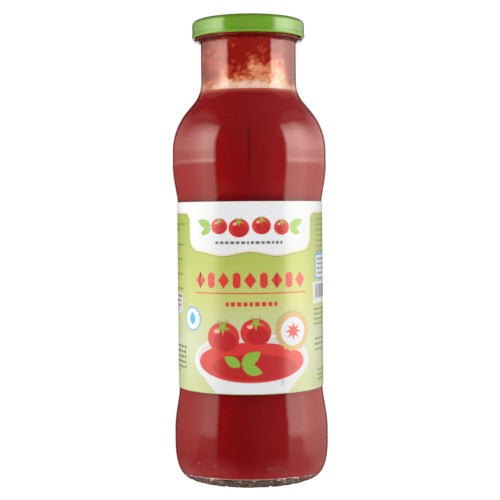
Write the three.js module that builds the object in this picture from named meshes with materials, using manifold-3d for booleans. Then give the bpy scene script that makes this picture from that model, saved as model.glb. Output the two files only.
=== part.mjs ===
// A tall glass bottle of tomato passata: clear glass with a wide mouth, a painted twist-off cap,
// a wrap-round paper label and the passata inside, up to the level in the neck.
// Millimetres, +Z up. The origin is the middle of the ring that the bottle stands on, and the
// front of the label faces -Y.

import * as THREE from "three";
import { mergeVertices } from "three/addons/utils/BufferGeometryUtils.js";
import Module from "manifold-3d";

const wasm = await Module();
wasm.setup();

// Roundness of every turned piece, and the clearance between pieces that nest
const ROUND_SEGMENTS = 48;
const FIT_GAP = 0.3;

// Glass: base and heel
const GLASS_WALL = 2.4;
const PUSH_UP_HEIGHT = 4.2;
const PUSH_UP_RADIUS = 25.5;
const BEARING_INNER_RADIUS = 28.0;
const BEARING_OUTER_RADIUS = 30.5;
const HEEL_REACH = 5.5;
const HEEL_RISE = 7.0;
const BASE_THICKNESS = 5.1;
const BASE_DOME_RISE = 2.8;

// Glass: lower roll, label panel and shoulder crest, which stand proud of the label
const LOWER_ROLL_RADIUS = 38.55;
const LOWER_ROLL_HEIGHT = 18.0;
const LOWER_ROLL_TOP = 23.5;
const ROLL_FULLNESS = 0.4;
const PANEL_EASE = 0.2;
const PANEL_RADIUS = 36.2;
const PANEL_BOTTOM = 44.0;
const PANEL_TOP = 138.0;
const CREST_RADIUS = 38.45;
const CREST_BOTTOM = 157.0;
const CREST_LEAD_OUT = 0.3;
const SHOULDER_START = 162.5;

// Glass: shoulder and neck
const SHOULDER_ARC_RADIUS = 31.6;
const SHOULDER_ANGLE = THREE.MathUtils.degToRad(40);
const NECK_ARC_RADIUS = 16.7;
const NECK_RADIUS = 23.8;

// Glass: bead under the cap, and the finish that the cap grips
const BEAD_UNDERSIDE = 215.9;
const BEAD_RADIUS = 27.2;
const BEAD_CORNER = 0.5;
const BEAD_TOP = 218.4;
const FINISH_RADIUS = 25.3;
const LIP_TOP = 226.6;
const LIP_ROUND = 1.2;
const THREAD_COUNT = 4;
const THREAD_RADIUS = 26.1;
const THREAD_ROOT_DEPTH = 1.0;
const THREAD_HEIGHT = 1.2;
const THREAD_START_HEIGHT = 221.5;
const THREAD_RISE = 1.9;
const THREAD_SPAN = THREE.MathUtils.degToRad(66);

// Cap
const CAP_TOP = 227.6;
const CAP_BOTTOM = 218.8;
const CAP_SHEET = 0.4;
const CAP_SKIRT_RADIUS = 28.0;
const CAP_CURL_RADIUS = 0.9;
const CAP_CURL_REACH = 28.25;
const CAP_CURL_START = Math.PI * 0.6;
const CAP_CURL_END = Math.PI * 2.1;
const CAP_CORNER = 2.2;
const CAP_RIM_INNER_RADIUS = 23.2;
const CAP_PANEL_DROP = 0.5;
const CAP_PANEL_SLOPE = 0.6;
const CAP_BUTTON_RADIUS = 9.5;
const CAP_BUTTON_DROP = 0.35;
const CAP_BUTTON_SLOPE = 1.0;
const CAP_LUG_COUNT = 4;
const CAP_LUG_REACH = 25.7;
const CAP_LUG_HEIGHT = 1.2;
const CAP_LUG_SPAN = THREE.MathUtils.degToRad(13);

// Label
const LABEL_BOTTOM = 45.7;
const LABEL_TOP = 137.5;
const LABEL_CLEARANCE = 0.1;
const LABEL_THICKNESS = 0.15;
const LABEL_FLAP_THICKNESS = 0.12;
const LABEL_FLAP_SPAN = THREE.MathUtils.degToRad(13);

// Bent bars: how much of a bar's depth is left at its two ends
const BAR_END_SHARE = 0.35;

// Passata: the level that it is filled to
const FILL_LEVEL = 192.0;

// Corners closer together than this are one corner
const SAME_CORNER = 1e-4;

// Adds the points of a smooth curve from the path's last point, by its two handles and its end
function curveTo(points, handleA, handleB, end, steps) {
  const start = points[points.length - 1];
  const curve = new THREE.CubicBezierCurve(start, handleA, handleB, end);
  points.push(...curve.getPoints(steps).slice(1));
}

// Adds the points of a round arc about a centre, from one angle to another, both included
function arcAbout(points, centre, radius, fromAngle, toAngle, steps) {
  for (let step = 0; step <= steps; step += 1) {
    const angle = fromAngle + ((toAngle - fromAngle) * step) / steps;
    points.push(new THREE.Vector2(
      centre.x + radius * Math.cos(angle),
      centre.y + radius * Math.sin(angle),
    ));
  }
}

// Adds a straight run to a point given by radius and height
function lineTo(points, radius, height) {
  points.push(new THREE.Vector2(radius, height));
}

// Height at which the neck turns straight, where the sloping shoulder meets it
function neckStraightStart() {
  const across = 1 - Math.cos(SHOULDER_ANGLE);
  const radialRun = CREST_RADIUS - NECK_RADIUS - (SHOULDER_ARC_RADIUS + NECK_ARC_RADIUS) * across;
  const slopeRise = radialRun / Math.tan(SHOULDER_ANGLE);
  const arcsRise = (SHOULDER_ARC_RADIUS + NECK_ARC_RADIUS) * Math.sin(SHOULDER_ANGLE);
  return SHOULDER_START + arcsRise + slopeRise;
}

// The body's wall from the lower roll up to the straight neck, set in by a distance from the outside
function addBodyWall(points, inset) {
  const roll = LOWER_ROLL_RADIUS - inset;
  const panel = PANEL_RADIUS - inset;
  const crest = CREST_RADIUS - inset;
  const swell = PANEL_BOTTOM - LOWER_ROLL_TOP;
  lineTo(points, roll, LOWER_ROLL_TOP);
  curveTo(
    points,
    new THREE.Vector2(roll, LOWER_ROLL_TOP + swell * ROLL_FULLNESS),
    new THREE.Vector2(panel, PANEL_BOTTOM - swell * PANEL_EASE),
    new THREE.Vector2(panel, PANEL_BOTTOM),
    3,
  );
  lineTo(points, panel, PANEL_TOP);
  const rise = CREST_BOTTOM - PANEL_TOP;
  curveTo(
    points,
    new THREE.Vector2(panel + CREST_LEAD_OUT, PANEL_TOP + rise / 4),
    new THREE.Vector2(crest, CREST_BOTTOM - rise / 2),
    new THREE.Vector2(crest, CREST_BOTTOM),
    4,
  );
  const shoulderCentre = new THREE.Vector2(CREST_RADIUS - SHOULDER_ARC_RADIUS, SHOULDER_START);
  arcAbout(points, shoulderCentre, SHOULDER_ARC_RADIUS - inset, 0, SHOULDER_ANGLE, 5);
  const neckCentre = new THREE.Vector2(NECK_RADIUS + NECK_ARC_RADIUS, neckStraightStart());
  arcAbout(
    points,
    neckCentre,
    NECK_ARC_RADIUS + inset,
    Math.PI + SHOULDER_ANGLE,
    Math.PI,
    4,
  );
}

// Outside of the glass, from the middle of the push-up to the crown of the lip
function outsidePoints() {
  const points = [new THREE.Vector2(0, PUSH_UP_HEIGHT)];
  curveTo(
    points,
    new THREE.Vector2(PUSH_UP_RADIUS / 2, PUSH_UP_HEIGHT),
    new THREE.Vector2(PUSH_UP_RADIUS, PUSH_UP_HEIGHT / 2),
    new THREE.Vector2(BEARING_INNER_RADIUS, 0),
    4,
  );
  lineTo(points, BEARING_OUTER_RADIUS, 0);
  curveTo(
    points,
    new THREE.Vector2(BEARING_OUTER_RADIUS + HEEL_REACH, 0),
    new THREE.Vector2(LOWER_ROLL_RADIUS, HEEL_RISE),
    new THREE.Vector2(LOWER_ROLL_RADIUS, LOWER_ROLL_HEIGHT),
    7,
  );
  addBodyWall(points, 0);
  lineTo(points, NECK_RADIUS, BEAD_UNDERSIDE);
  const beadWidest = BEAD_TOP - BEAD_CORNER;
  const beadMiddle = (BEAD_UNDERSIDE + beadWidest) / 2;
  curveTo(
    points,
    new THREE.Vector2(NECK_RADIUS, beadMiddle),
    new THREE.Vector2((NECK_RADIUS + BEAD_RADIUS) / 2, beadMiddle),
    new THREE.Vector2(BEAD_RADIUS, beadWidest),
    4,
  );
  lineTo(points, BEAD_RADIUS - BEAD_CORNER, BEAD_TOP);
  lineTo(points, FINISH_RADIUS, BEAD_TOP + FIT_GAP);
  arcAbout(
    points,
    new THREE.Vector2(FINISH_RADIUS - LIP_ROUND, LIP_TOP - LIP_ROUND),
    LIP_ROUND,
    0,
    Math.PI / 2,
    3,
  );
  return points;
}

// Inside of the glass from its floor up to the straight neck, set in by a distance from the outside
function insidePoints(inset) {
  const floorEdge = BEARING_INNER_RADIUS - inset;
  const floor = BASE_THICKNESS + inset - GLASS_WALL;
  const roll = LOWER_ROLL_RADIUS - inset;
  const points = [new THREE.Vector2(0, floor + BASE_DOME_RISE)];
  curveTo(
    points,
    new THREE.Vector2(floorEdge / 2, floor + BASE_DOME_RISE),
    new THREE.Vector2(floorEdge / 2, floor),
    new THREE.Vector2(floorEdge, floor),
    3,
  );
  curveTo(
    points,
    new THREE.Vector2(floorEdge + HEEL_REACH, floor),
    new THREE.Vector2(roll, floor + HEEL_RISE / 2),
    new THREE.Vector2(roll, LOWER_ROLL_HEIGHT),
    6,
  );
  addBodyWall(points, inset);
  return points;
}

// Turns a profile of radius and height about the bottle's axis
function turned(points) {
  const geometry = new THREE.LatheGeometry(points, ROUND_SEGMENTS);
  geometry.rotateX(Math.PI / 2);
  return geometry;
}

// A short bar bent round the axis, standing out from it or in towards it, tapered to its ends in
// depth, that may climb as it goes
function bentBar({ rootRadius, tipRadius, height, bottom, span, middle, rise, steps }) {
  const geometry = new THREE.BoxGeometry(1, 1, 1, steps, 1, 1);
  const position = geometry.attributes.position;
  const turn = Math.sign(tipRadius - rootRadius);
  for (let index = 0; index < position.count; index += 1) {
    const along = position.getX(index);
    const depth = position.getY(index) + 0.5;
    const fullness = Math.min(1, (0.5 - Math.abs(along)) * steps);
    const tip = rootRadius + (tipRadius - rootRadius) * (BAR_END_SHARE + (1 - BAR_END_SHARE) * fullness);
    const radius = rootRadius + (tip - rootRadius) * depth;
    const angle = middle - along * span * turn;
    position.setXYZ(
      index,
      radius * Math.cos(angle),
      radius * Math.sin(angle),
      bottom + (position.getZ(index) + 0.5) * height + (along + 0.5) * rise,
    );
  }
  return geometry;
}

// A closed three.js geometry as a solid that can be joined and cut
function toSolid(geometry) {
  const bare = geometry.clone();
  bare.deleteAttribute("normal");
  bare.deleteAttribute("uv");
  const merged = mergeVertices(bare, SAME_CORNER);
  const corners = merged.index.array;
  const triangles = [];
  for (let first = 0; first < corners.length; first += 3) {
    const [a, b, c] = [corners[first], corners[first + 1], corners[first + 2]];
    if (a !== b && b !== c && c !== a) {
      triangles.push(a, b, c);
    }
  }
  return new wasm.Manifold(new wasm.Mesh({
    numProp: 3,
    vertProperties: Float32Array.from(merged.attributes.position.array),
    triVerts: Uint32Array.from(triangles),
  }));
}

// A joined solid back as a three.js geometry
function toGeometry(solid) {
  const mesh = solid.getMesh();
  const geometry = new THREE.BufferGeometry();
  geometry.setAttribute("position", new THREE.BufferAttribute(mesh.vertProperties, 3));
  geometry.setIndex(new THREE.BufferAttribute(mesh.triVerts, 1));
  geometry.computeVertexNormals();
  return geometry;
}

// Joins pieces to a turned body
function joined(bodyGeometry, pieceGeometries) {
  let solid = toSolid(bodyGeometry);
  for (const piece of pieceGeometries) {
    solid = solid.add(toSolid(piece));
  }
  return toGeometry(solid);
}

// The glass bottle: outside and inside in one profile, with the thread ridges on its finish
function bottleGeometry() {
  const outside = outsidePoints();
  const inside = insidePoints(GLASS_WALL);
  const boreRadius = NECK_RADIUS - GLASS_WALL;
  const lipInside = new THREE.Vector2(boreRadius + LIP_ROUND, LIP_TOP - LIP_ROUND);
  arcAbout(outside, lipInside, LIP_ROUND, Math.PI / 2, Math.PI, 2);
  const profile = [...outside, ...inside.reverse()];
  const threads = [];
  for (let count = 0; count < THREAD_COUNT; count += 1) {
    threads.push(bentBar({
      rootRadius: FINISH_RADIUS - THREAD_ROOT_DEPTH,
      tipRadius: THREAD_RADIUS,
      height: THREAD_HEIGHT,
      bottom: THREAD_START_HEIGHT,
      span: THREAD_SPAN,
      middle: ((count + 0.5) / THREAD_COUNT) * 2 * Math.PI,
      rise: THREAD_RISE,
      steps: 8,
    }));
  }
  return joined(turned(profile), threads);
}

// The passata: everything inside the glass up to the fill level, a gap clear of the wall
function passataGeometry() {
  const wall = insidePoints(GLASS_WALL + FIT_GAP);
  const belowLevel = wall.filter((point) => point.y < FILL_LEVEL);
  const above = wall[belowLevel.length];
  const below = belowLevel[belowLevel.length - 1];
  const share = (FILL_LEVEL - below.y) / (above.y - below.y);
  const rim = below.clone().lerp(above, share);
  return turned([...belowLevel, rim, new THREE.Vector2(0, FILL_LEVEL)]);
}

// The cap: one sheet with a sunk panel and button, a rounded rim, a skirt and a curled edge,
// with lugs under the thread ridges
function capGeometry() {
  const panelTop = CAP_TOP - CAP_PANEL_DROP;
  const buttonTop = panelTop - CAP_BUTTON_DROP;
  const curlCentre = new THREE.Vector2(CAP_CURL_REACH - CAP_CURL_RADIUS, CAP_BOTTOM + CAP_CURL_RADIUS);
  const cornerRadius = CAP_SKIRT_RADIUS - CAP_CORNER;
  const innerSkirt = CAP_SKIRT_RADIUS - CAP_SHEET;
  const points = [new THREE.Vector2(0, buttonTop - CAP_SHEET)];
  lineTo(points, CAP_BUTTON_RADIUS - CAP_BUTTON_SLOPE, buttonTop - CAP_SHEET);
  lineTo(points, CAP_BUTTON_RADIUS, panelTop - CAP_SHEET);
  lineTo(points, CAP_RIM_INNER_RADIUS - CAP_PANEL_SLOPE, panelTop - CAP_SHEET);
  lineTo(points, CAP_RIM_INNER_RADIUS, CAP_TOP - CAP_SHEET);
  const innerCorner = new THREE.Vector2(cornerRadius, CAP_TOP - CAP_CORNER);
  arcAbout(points, innerCorner, CAP_CORNER - CAP_SHEET, Math.PI / 2, 0, 3);
  lineTo(points, innerSkirt, curlCentre.y + CAP_CURL_RADIUS);
  arcAbout(points, curlCentre, CAP_CURL_RADIUS, CAP_CURL_START, CAP_CURL_END, 6);
  lineTo(points, CAP_SKIRT_RADIUS, curlCentre.y + CAP_CURL_RADIUS);
  arcAbout(points, innerCorner, CAP_CORNER, 0, Math.PI / 2, 4);
  lineTo(points, CAP_RIM_INNER_RADIUS, CAP_TOP);
  lineTo(points, CAP_RIM_INNER_RADIUS - CAP_PANEL_SLOPE, panelTop);
  lineTo(points, CAP_BUTTON_RADIUS, panelTop);
  lineTo(points, CAP_BUTTON_RADIUS - CAP_BUTTON_SLOPE, buttonTop);
  lineTo(points, 0, buttonTop);
  const lugs = [];
  for (let count = 0; count < CAP_LUG_COUNT; count += 1) {
    lugs.push(bentBar({
      rootRadius: curlCentre.x,
      tipRadius: CAP_LUG_REACH,
      height: CAP_LUG_HEIGHT,
      bottom: CAP_BOTTOM + FIT_GAP,
      span: CAP_LUG_SPAN,
      middle: ((count + 0.5) / CAP_LUG_COUNT) * 2 * Math.PI,
      rise: 0,
      steps: 3,
    }));
  }
  return joined(turned(points), lugs);
}

// The label: a paper ring round the panel, with its glued overlap at the back
function labelGeometry() {
  const inner = PANEL_RADIUS + LABEL_CLEARANCE;
  const outer = inner + LABEL_THICKNESS;
  const ring = [
    new THREE.Vector2(inner, LABEL_BOTTOM),
    new THREE.Vector2(outer, LABEL_BOTTOM),
    new THREE.Vector2(outer, LABEL_TOP),
    new THREE.Vector2(inner, LABEL_TOP),
    new THREE.Vector2(inner, LABEL_BOTTOM),
  ];
  const flap = bentBar({
    rootRadius: inner + LABEL_THICKNESS / 2,
    tipRadius: outer + LABEL_FLAP_THICKNESS,
    height: LABEL_TOP - LABEL_BOTTOM,
    bottom: LABEL_BOTTOM,
    span: LABEL_FLAP_SPAN,
    middle: Math.PI / 2,
    rise: 0,
    steps: 4,
  });
  return joined(turned(ring), [flap]);
}

// One named mesh with its colour and finish
function namedMesh(name, geometry, look) {
  const mesh = new THREE.Mesh(geometry, new THREE.MeshStandardMaterial(look));
  mesh.name = name;
  return mesh;
}

const group = new THREE.Group();
group.add(
  namedMesh("bottle", bottleGeometry(), {
    color: 0xe6efec,
    roughness: 0.05,
    metalness: 0,
    transparent: true,
    opacity: 0.3,
  }),
  namedMesh("passata", passataGeometry(), { color: 0xa01a18, roughness: 0.45, metalness: 0 }),
  namedMesh("cap", capGeometry(), { color: 0x6a9a2e, roughness: 0.3, metalness: 0.2 }),
  namedMesh("label", labelGeometry(), { color: 0xd3dc8f, roughness: 0.6, metalness: 0 }),
);

export default group;
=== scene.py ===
import random
from math import cos, dist, exp, pi, radians, sin, tan

import bmesh
import bpy
import numpy as np
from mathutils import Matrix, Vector, noise


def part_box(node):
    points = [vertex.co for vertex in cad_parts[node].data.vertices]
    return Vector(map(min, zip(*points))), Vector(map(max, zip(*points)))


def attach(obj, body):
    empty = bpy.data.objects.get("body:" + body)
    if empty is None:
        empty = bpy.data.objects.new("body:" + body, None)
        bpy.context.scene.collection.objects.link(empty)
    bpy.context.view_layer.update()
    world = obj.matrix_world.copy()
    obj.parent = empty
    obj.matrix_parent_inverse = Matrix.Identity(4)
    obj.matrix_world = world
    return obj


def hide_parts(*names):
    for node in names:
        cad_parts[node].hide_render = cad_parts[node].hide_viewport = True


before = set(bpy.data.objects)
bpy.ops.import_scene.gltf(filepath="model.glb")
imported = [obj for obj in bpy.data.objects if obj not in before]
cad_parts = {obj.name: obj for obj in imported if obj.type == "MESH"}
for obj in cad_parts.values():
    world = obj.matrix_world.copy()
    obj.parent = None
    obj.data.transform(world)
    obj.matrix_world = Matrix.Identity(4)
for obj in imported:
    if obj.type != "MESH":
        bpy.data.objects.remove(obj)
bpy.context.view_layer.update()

# Sizes are in millimetres and become metres as each mesh is made
MM = 0.001
BODY = "root"

# Sizes that the frame holds
GLASS_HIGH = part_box("bottle")[1]
CAP_LOW, CAP_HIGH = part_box("cap")
LABEL_LOW, LABEL_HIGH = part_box("label")
LIP_TOP = GLASS_HIGH.z / MM
LOWER_ROLL_RADIUS = GLASS_HIGH.x / MM
CAP_TOP = CAP_HIGH.z / MM
CAP_REACH = CAP_HIGH.x / MM
LABEL_BOTTOM = LABEL_LOW.z / MM
LABEL_TOP = LABEL_HIGH.z / MM
LABEL_RADIUS = LABEL_HIGH.x / MM
FILL_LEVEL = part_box("passata")[1].z / MM

# Glass: base, heel and wall
GLASS_WALL = 2.4
PUSH_UP_HEIGHT = 4.2
PUSH_UP_RADIUS = 25.5
BEARING_INNER_RADIUS = 28.0
BEARING_OUTER_RADIUS = 30.5
HEEL_REACH = 5.5
HEEL_RISE = 7.0
BASE_THICKNESS = 5.1
BASE_DOME_RISE = 2.8
LOWER_ROLL_HEIGHT = 18.0
LOWER_ROLL_TOP = 23.5
ROLL_FULLNESS = 0.4
PANEL_EASE = 0.2

# Glass: label panel, crest, shoulder and neck
PANEL_RADIUS = 36.2
PANEL_BOTTOM = 44.0
PANEL_TOP = 138.0
CREST_RADIUS = 38.45
CREST_BOTTOM = 156.3
CREST_LEAD_OUT = 0.42
CREST_LEDGE_DEPTH = 0.09
CREST_LEDGE_HEIGHT = 3.6
CREST_LEDGE_STEPS = 8
CREST_LEDGE_QUICK = 0.6
SHOULDER_START = 162.5
SHOULDER_ARC_RADIUS = 31.6
SHOULDER_ANGLE = radians(40)
NECK_ARC_RADIUS = 16.7
NECK_RADIUS = 23.8
BORE_RADIUS = NECK_RADIUS - GLASS_WALL

# Glass: bead, finish and thread ridges
BEAD_UNDERSIDE = 215.9
BEAD_RADIUS = 27.2
BEAD_CORNER = 0.5
BEAD_TOP = 218.4
BEAD_TOP_SLOPE = 0.3
FINISH_RADIUS = 25.3
LIP_ROUND = 1.2
THREAD_COUNT = 4
THREAD_DEPTH = 0.8
THREAD_START_HEIGHT = 222.1
THREAD_RISE = 1.9
THREAD_WIDTH = 0.7
THREAD_SHARE = 0.92
THREAD_TAPER = (0.02, 0.16)

# Glass: stippled ring under the heel, and the raised dots above it. Each row of dots has its
# first and last angle and its height.
STIPPLE_INNER_RADIUS = 29.0
STIPPLE_REACH = 7.0
STIPPLE_DEPTH = 2.2
STIPPLE_FINENESS = 0.62
HEEL_DOT_ROWS = ((-42.0, -27.0, 11.6), (12.0, 23.0, 10.2))
HEEL_DOTS_IN_ROW = 6
HEEL_DOT_RADIUS = 0.38
HEEL_DOT_RISE = 0.42
HEEL_DOT_SINK = 0.45
HEEL_DOT_WANDER = 0.7

# Passata: how far it reaches into the wall, and its rim as steps inwards and down from the
# place where its level meets the wall
WALL_REACH = 0.35
PASSATA_RIM = ((0.6, 0.05), (1.0, 0.5), (1.6, 0.6), (2.6, 0.65))
SURFACE_LUMP_RISE = 0.45
SURFACE_LUMP_FINENESS = 0.25

# Passata: fine dark line of painted shade down its front
PAINTED_SHADE_LOW = 147.0
PAINTED_SHADE_HIGH = 175.0
PAINTED_SHADE_FADE_IN = 7.0
PAINTED_SHADE_FADE_OUT = 4.0
PAINTED_SHADE_CORE = 0.2
PAINTED_SHADE_HALF_WIDTH = 1.1

# Coat of passata on the inside of the neck
FILM_REACH = 0.1
FILM_DEPTH = 0.35
FILM_LEAST_DEPTH = 0.03
FILM_LEAST_COVER = 0.08
FILM_COVER_GAIN = 0.85
FILM_START_BACK = 14.0
FILM_START_FRONT = 0.8
FILM_START_FADE = 7.5

# Drops of passata above its level
DROP_COUNT = 30
DROP_LOWEST = 0.8
DROP_SPREAD = 9.0
DROP_SMALLEST = 0.12
DROP_LARGEST = 0.34

# Cap
CAP_BOTTOM = CAP_LOW.z / MM
CAP_SHEET = 0.4
CAP_SKIRT_RADIUS = 28.0
CAP_CURL_RADIUS = 0.85
CAP_CORNER = 2.2
CAP_RIM_INNER_RADIUS = 23.2
CAP_PANEL_DROP = 0.5
CAP_BUTTON_RADIUS = 9.5
CAP_BUTTON_DROP = 0.35
CAP_STEP = 0.7
CAP_LUG_COUNT = 4
CAP_LUG_SPACING = 0.06
CAP_LUG_RISE = 1.1

# Label, and its seam at the back in degrees
LABEL_THICKNESS = 0.15
LABEL_HEIGHT = LABEL_TOP - LABEL_BOTTOM
LABEL_FLAP_THICKNESS = 0.12
SEAM_START = 173.5
SEAM_FLAP = 13.0
SEAM_EASE = 7.0

# Print: layers of ink, and the white field with its tab
INK_STEP = 0.025
INK_DEPTH = 0.8
INK_SLICE = 1.5
FIELD_GAP = 2.0
STRIP_BOTTOM = 87.0
TAB_BOTTOM = 68.6
TAB_HALF_WIDTH = 33.0
TAB_CORNER = 7.0
TAB_TOP_CORNER = 4.0
TAB_WAVE = 2.0

# Inks, and the gloss of the white one against that of the bare paper
WHITE_GLOSS = 0.6
INKS = {
    "white": (0.73, 0.738, 0.75),
    "cream": (0.78, 0.60, 0.44),
    "dark_green": (0.13, 0.27, 0.03),
    "leaf_green": (0.26, 0.45, 0.05),
    "red": (0.66, 0.035, 0.03),
    "deep_red": (0.50, 0.015, 0.018),
    "shine": (0.90, 0.40, 0.33),
    "gold": (0.62, 0.40, 0.15),
    "blue": (0.04, 0.40, 0.74),
    "grey": (0.16, 0.15, 0.13),
    "pale_grey": (0.62, 0.63, 0.62),
}

# Fineness of the meshes
GLASS_SEGMENTS = 400
PIECE_SEGMENTS = 288
SURFACE_RINGS = 15
FILM_COLUMNS = 240
FILM_ROWS = 64
LABEL_ROWS = 12
LEAF_STEPS = 14

# Camera, as found from the curve of the rings in the photo
CAMERA_DISTANCE = 0.6
CAMERA_HEIGHT = 0.1314
CAMERA_PITCH = radians(1.72)
CAMERA_ROLL = radians(-0.5)
CAMERA_WIDTH_ANGLE = radians(23.684)

# Light panels, in metres and degrees from the camera's side: their size, then where their light
# starts, has its foot and its faint trail, gains its upper part and ends at its sloping top
LIGHT_PANEL_DISTANCE = 0.6
LIGHT_PANEL_LOW = -0.3
LIGHT_PANEL_HIGH = 0.74
LIGHT_PANEL_END = 148.0
LIGHT_PANEL_STEPS = 40
LIGHT_EDGE = 6.0
LIGHT_FOOT_TURN = (75.0, 110.0)
LIGHT_FOOT_END = -0.075
LIGHT_FOOT_FULL = -0.006
LIGHT_TRAIL_FULL = -0.028
LIGHT_TRAIL_SHARE = 0.35
LIGHT_UPPER_START = (0.16, 0.215)
LIGHT_TOP_TURN = (85.0, 115.0)
LIGHT_TOP_SLOPE = 0.15
LIGHT_TOP_FADE = (0.42, 0.7)
LIGHT_COLOUR = (1.0, 0.95, 0.84, 1)

# Lamps: powers, sizes and places
FILL_LIGHT = 5.9
FILL_SIZE = 0.7
FILL_PLACE = (0.0, -0.88, 0.52)
CAP_SIDE_LIGHT = 2.8
LABEL_LEFT_LIGHT = 3.2
LABEL_RIGHT_LIGHT = 1.0
COAT_FRONT_LIGHT = 5.0
COAT_SIDE_LIGHT = 2.2
PASSATA_SIDE_LIGHT = 5.6
SHOULDER_LIGHT = 4.5
LAMP_WIDTH = 0.25
LAMP_HEIGHT = 0.5
LAMP_SIDE_REACH = 0.55
LAMP_AIM_HEIGHT = 0.12

# World and floor
BACKDROP_LIGHT = 1.05
UPLIGHT = 3.6
FLOOR_RADIUS = 0.12
FLOOR_SEGMENTS = 96
FLOOR_GLOW = 0.85


def arc_points(x, y, across, up, from_angle, to_angle, steps):
    """Points of a round or an oval arc about a middle, both ends included."""
    angles = [from_angle + (to_angle - from_angle) * k / steps for k in range(steps + 1)]
    return [(x + across * cos(angle), y + up * sin(angle)) for angle in angles]


class Outline:
    """A profile of radius and height in millimetres, drawn run by run."""

    def __init__(self, radius, height):
        self.points = [(radius, height)]

    def line(self, radius, height, steps=1):
        start = np.array(self.points[-1])
        end = np.array((radius, height))
        for step in range(1, steps + 1):
            self.points.append(tuple(start + (end - start) * step / steps))

    def curve(self, handle_a, handle_b, end, steps):
        start = np.array(self.points[-1])
        for step in range(1, steps + 1):
            t = step / steps
            point = (
                (1 - t) ** 3 * start
                + 3 * (1 - t) ** 2 * t * np.array(handle_a)
                + 3 * (1 - t) * t * t * np.array(handle_b)
                + t**3 * np.array(end)
            )
            self.points.append(tuple(point))

    def arc(self, centre, radius, from_angle, to_angle, steps):
        self.points += arc_points(*centre, radius, radius, from_angle, to_angle, steps)


def neck_straight_start():
    """Height at which the neck turns straight, where the sloping shoulder meets it."""
    across = 1 - cos(SHOULDER_ANGLE)
    radial_run = CREST_RADIUS - NECK_RADIUS - (SHOULDER_ARC_RADIUS + NECK_ARC_RADIUS) * across
    slope_rise = radial_run / tan(SHOULDER_ANGLE)
    arcs_rise = (SHOULDER_ARC_RADIUS + NECK_ARC_RADIUS) * sin(SHOULDER_ANGLE)
    return SHOULDER_START + arcs_rise + slope_rise


def add_body_wall(outline, inset):
    """The body's wall from the lower roll up to the straight neck, set in from the outside."""
    roll = LOWER_ROLL_RADIUS - inset
    panel = PANEL_RADIUS - inset
    crest = CREST_RADIUS - inset
    swell = PANEL_BOTTOM - LOWER_ROLL_TOP
    outline.line(roll, LOWER_ROLL_TOP, 2)
    outline.curve(
        (roll, LOWER_ROLL_TOP + swell * ROLL_FULLNESS),
        (panel, PANEL_BOTTOM - swell * PANEL_EASE),
        (panel, PANEL_BOTTOM),
        14,
    )
    outline.line(panel, PANEL_TOP, 4)
    rise = CREST_BOTTOM - PANEL_TOP
    ledge = CREST_LEDGE_DEPTH if inset == 0 else 0
    outline.curve(
        (panel + CREST_LEAD_OUT, PANEL_TOP + rise / 4),
        (crest + ledge, CREST_BOTTOM - rise * 0.4),
        (crest + ledge, CREST_BOTTOM),
        14,
    )
    if inset == 0:
        for step in range(1, CREST_LEDGE_STEPS + 1):
            share = step / CREST_LEDGE_STEPS
            quick = CREST_LEDGE_QUICK * smooth_step(0, 0.5, share)
            sunk = quick + (1 - CREST_LEDGE_QUICK) * share
            outline.line(crest + ledge * (1 - sunk), CREST_BOTTOM + CREST_LEDGE_HEIGHT * share)
    centre = (CREST_RADIUS - SHOULDER_ARC_RADIUS, SHOULDER_START)
    outline.arc(centre, SHOULDER_ARC_RADIUS - inset, 0, SHOULDER_ANGLE, 16)
    centre = (NECK_RADIUS + NECK_ARC_RADIUS, neck_straight_start())
    outline.arc(centre, NECK_ARC_RADIUS + inset, pi + SHOULDER_ANGLE, pi, 12)


def glass_outside():
    """Outside of the glass, from the middle of the push-up to the crown of the lip."""
    outline = Outline(0, PUSH_UP_HEIGHT)
    outline.curve(
        (PUSH_UP_RADIUS / 2, PUSH_UP_HEIGHT),
        (PUSH_UP_RADIUS, PUSH_UP_HEIGHT / 2),
        (BEARING_INNER_RADIUS, 0),
        14,
    )
    outline.line(BEARING_OUTER_RADIUS, 0, 2)
    outline.curve(
        (BEARING_OUTER_RADIUS + HEEL_REACH, 0),
        (LOWER_ROLL_RADIUS, HEEL_RISE),
        (LOWER_ROLL_RADIUS, LOWER_ROLL_HEIGHT),
        22,
    )
    add_body_wall(outline, 0)
    outline.line(NECK_RADIUS, BEAD_UNDERSIDE, 3)
    bead_widest = BEAD_TOP - BEAD_CORNER
    bead_middle = (BEAD_UNDERSIDE + bead_widest) / 2
    outline.curve(
        (NECK_RADIUS, bead_middle),
        ((NECK_RADIUS + BEAD_RADIUS) / 2, bead_middle),
        (BEAD_RADIUS, bead_widest),
        8,
    )
    outline.arc((BEAD_RADIUS - BEAD_CORNER, bead_widest), BEAD_CORNER, 0, pi / 2, 4)
    outline.line(FINISH_RADIUS, BEAD_TOP + BEAD_TOP_SLOPE)
    outline.line(FINISH_RADIUS, LIP_TOP - LIP_ROUND, 14)
    outline.arc((FINISH_RADIUS - LIP_ROUND, LIP_TOP - LIP_ROUND), LIP_ROUND, 0, pi / 2, 5)
    return outline


def glass_inside(inset):
    """Inside of the glass from its floor up to the straight neck, set in from the outside."""
    floor_edge = BEARING_INNER_RADIUS - inset
    floor = BASE_THICKNESS + inset - GLASS_WALL
    roll = LOWER_ROLL_RADIUS - inset
    outline = Outline(0, floor + BASE_DOME_RISE)
    outline.curve(
        (floor_edge / 2, floor + BASE_DOME_RISE),
        (floor_edge / 2, floor),
        (floor_edge, floor),
        10,
    )
    outline.curve(
        (floor_edge + HEEL_REACH, floor),
        (roll, floor + HEEL_RISE / 2),
        (roll, LOWER_ROLL_HEIGHT),
        18,
    )
    add_body_wall(outline, inset)
    return outline


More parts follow.
